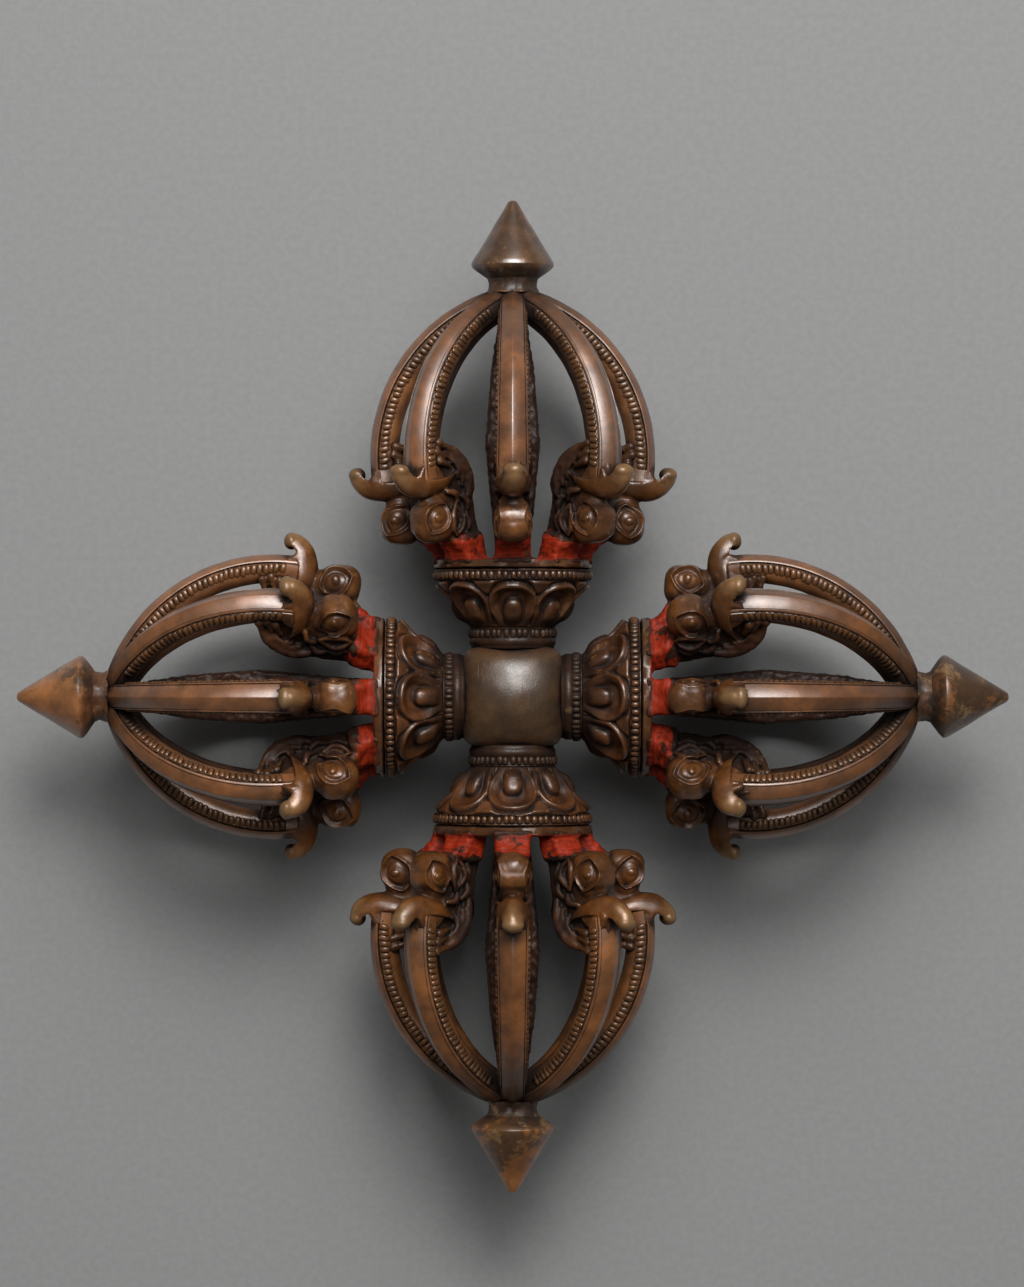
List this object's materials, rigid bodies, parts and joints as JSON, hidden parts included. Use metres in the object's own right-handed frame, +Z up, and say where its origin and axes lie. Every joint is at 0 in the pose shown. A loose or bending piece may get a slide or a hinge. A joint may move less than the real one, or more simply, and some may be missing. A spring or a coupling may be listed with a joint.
{
  "type": "crossed ritual sceptre",
  "caption": "Crossed ritual sceptre in dark bronze: caged beast-headed prongs round spear tips, on beaded lotus cups joined at a square hub; lies flat for display.",
  "frame": {"origin": "on the ground under the hub's centre", "axes": "+Z up from the surface it lies on, +X along the east arm (right in the picture), +Y along the north arm (up in the picture)"},
  "size_m": [0.1596, 0.1596, 0.053],
  "materials": {
    "bronze": "brown patina, worn on the ridges",
    "dark_bronze": "dark brown patina",
    "worn_bronze": "handled brown patina"
  },
  "bodies": {
    "root": {"hub": "worn_bronze", "neck_ring_east": "dark_bronze", "lotus_cup_east": "dark_bronze", "rim_ring_east": "bronze", "prong_seat_east": "bronze", "core_rod_east": "dark_bronze", "tip_east": "worn_bronze", "neck_ring_north": "dark_bronze", "lotus_cup_north": "dark_bronze", "rim_ring_north": "bronze", "prong_seat_north": "bronze", "core_rod_north": "dark_bronze", "tip_north": "worn_bronze", "neck_ring_west": "dark_bronze", "lotus_cup_west": "dark_bronze", "rim_ring_west": "bronze", "prong_seat_west": "bronze", "core_rod_west": "dark_bronze", "tip_west": "worn_bronze", "neck_ring_south": "dark_bronze", "lotus_cup_south": "dark_bronze", "rim_ring_south": "bronze", "prong_seat_south": "bronze", "core_rod_south": "dark_bronze", "tip_south": "worn_bronze", "prong_east_1": "bronze", "prong_east_2": "bronze", "prong_east_3": "bronze", "prong_east_4": "bronze", "prong_east_5": "bronze", "prong_east_6": "bronze", "prong_east_7": "bronze", "prong_east_8": "bronze", "prong_north_1": "bronze", "prong_north_2": "bronze", "prong_north_3": "bronze", "prong_north_4": "bronze", "prong_north_5": "bronze", "prong_north_6": "bronze", "prong_north_7": "bronze", "prong_north_8": "bronze", "prong_west_1": "bronze", "prong_west_2": "bronze", "prong_west_3": "bronze", "prong_west_4": "bronze", "prong_west_5": "bronze", "prong_west_6": "bronze", "prong_west_7": "bronze", "prong_west_8": "bronze", "prong_south_1": "bronze", "prong_south_2": "bronze", "prong_south_3": "bronze", "prong_south_4": "bronze", "prong_south_5": "bronze", "prong_south_6": "bronze", "prong_south_7": "bronze", "prong_south_8": "bronze"}
  },
  "joints": []
}
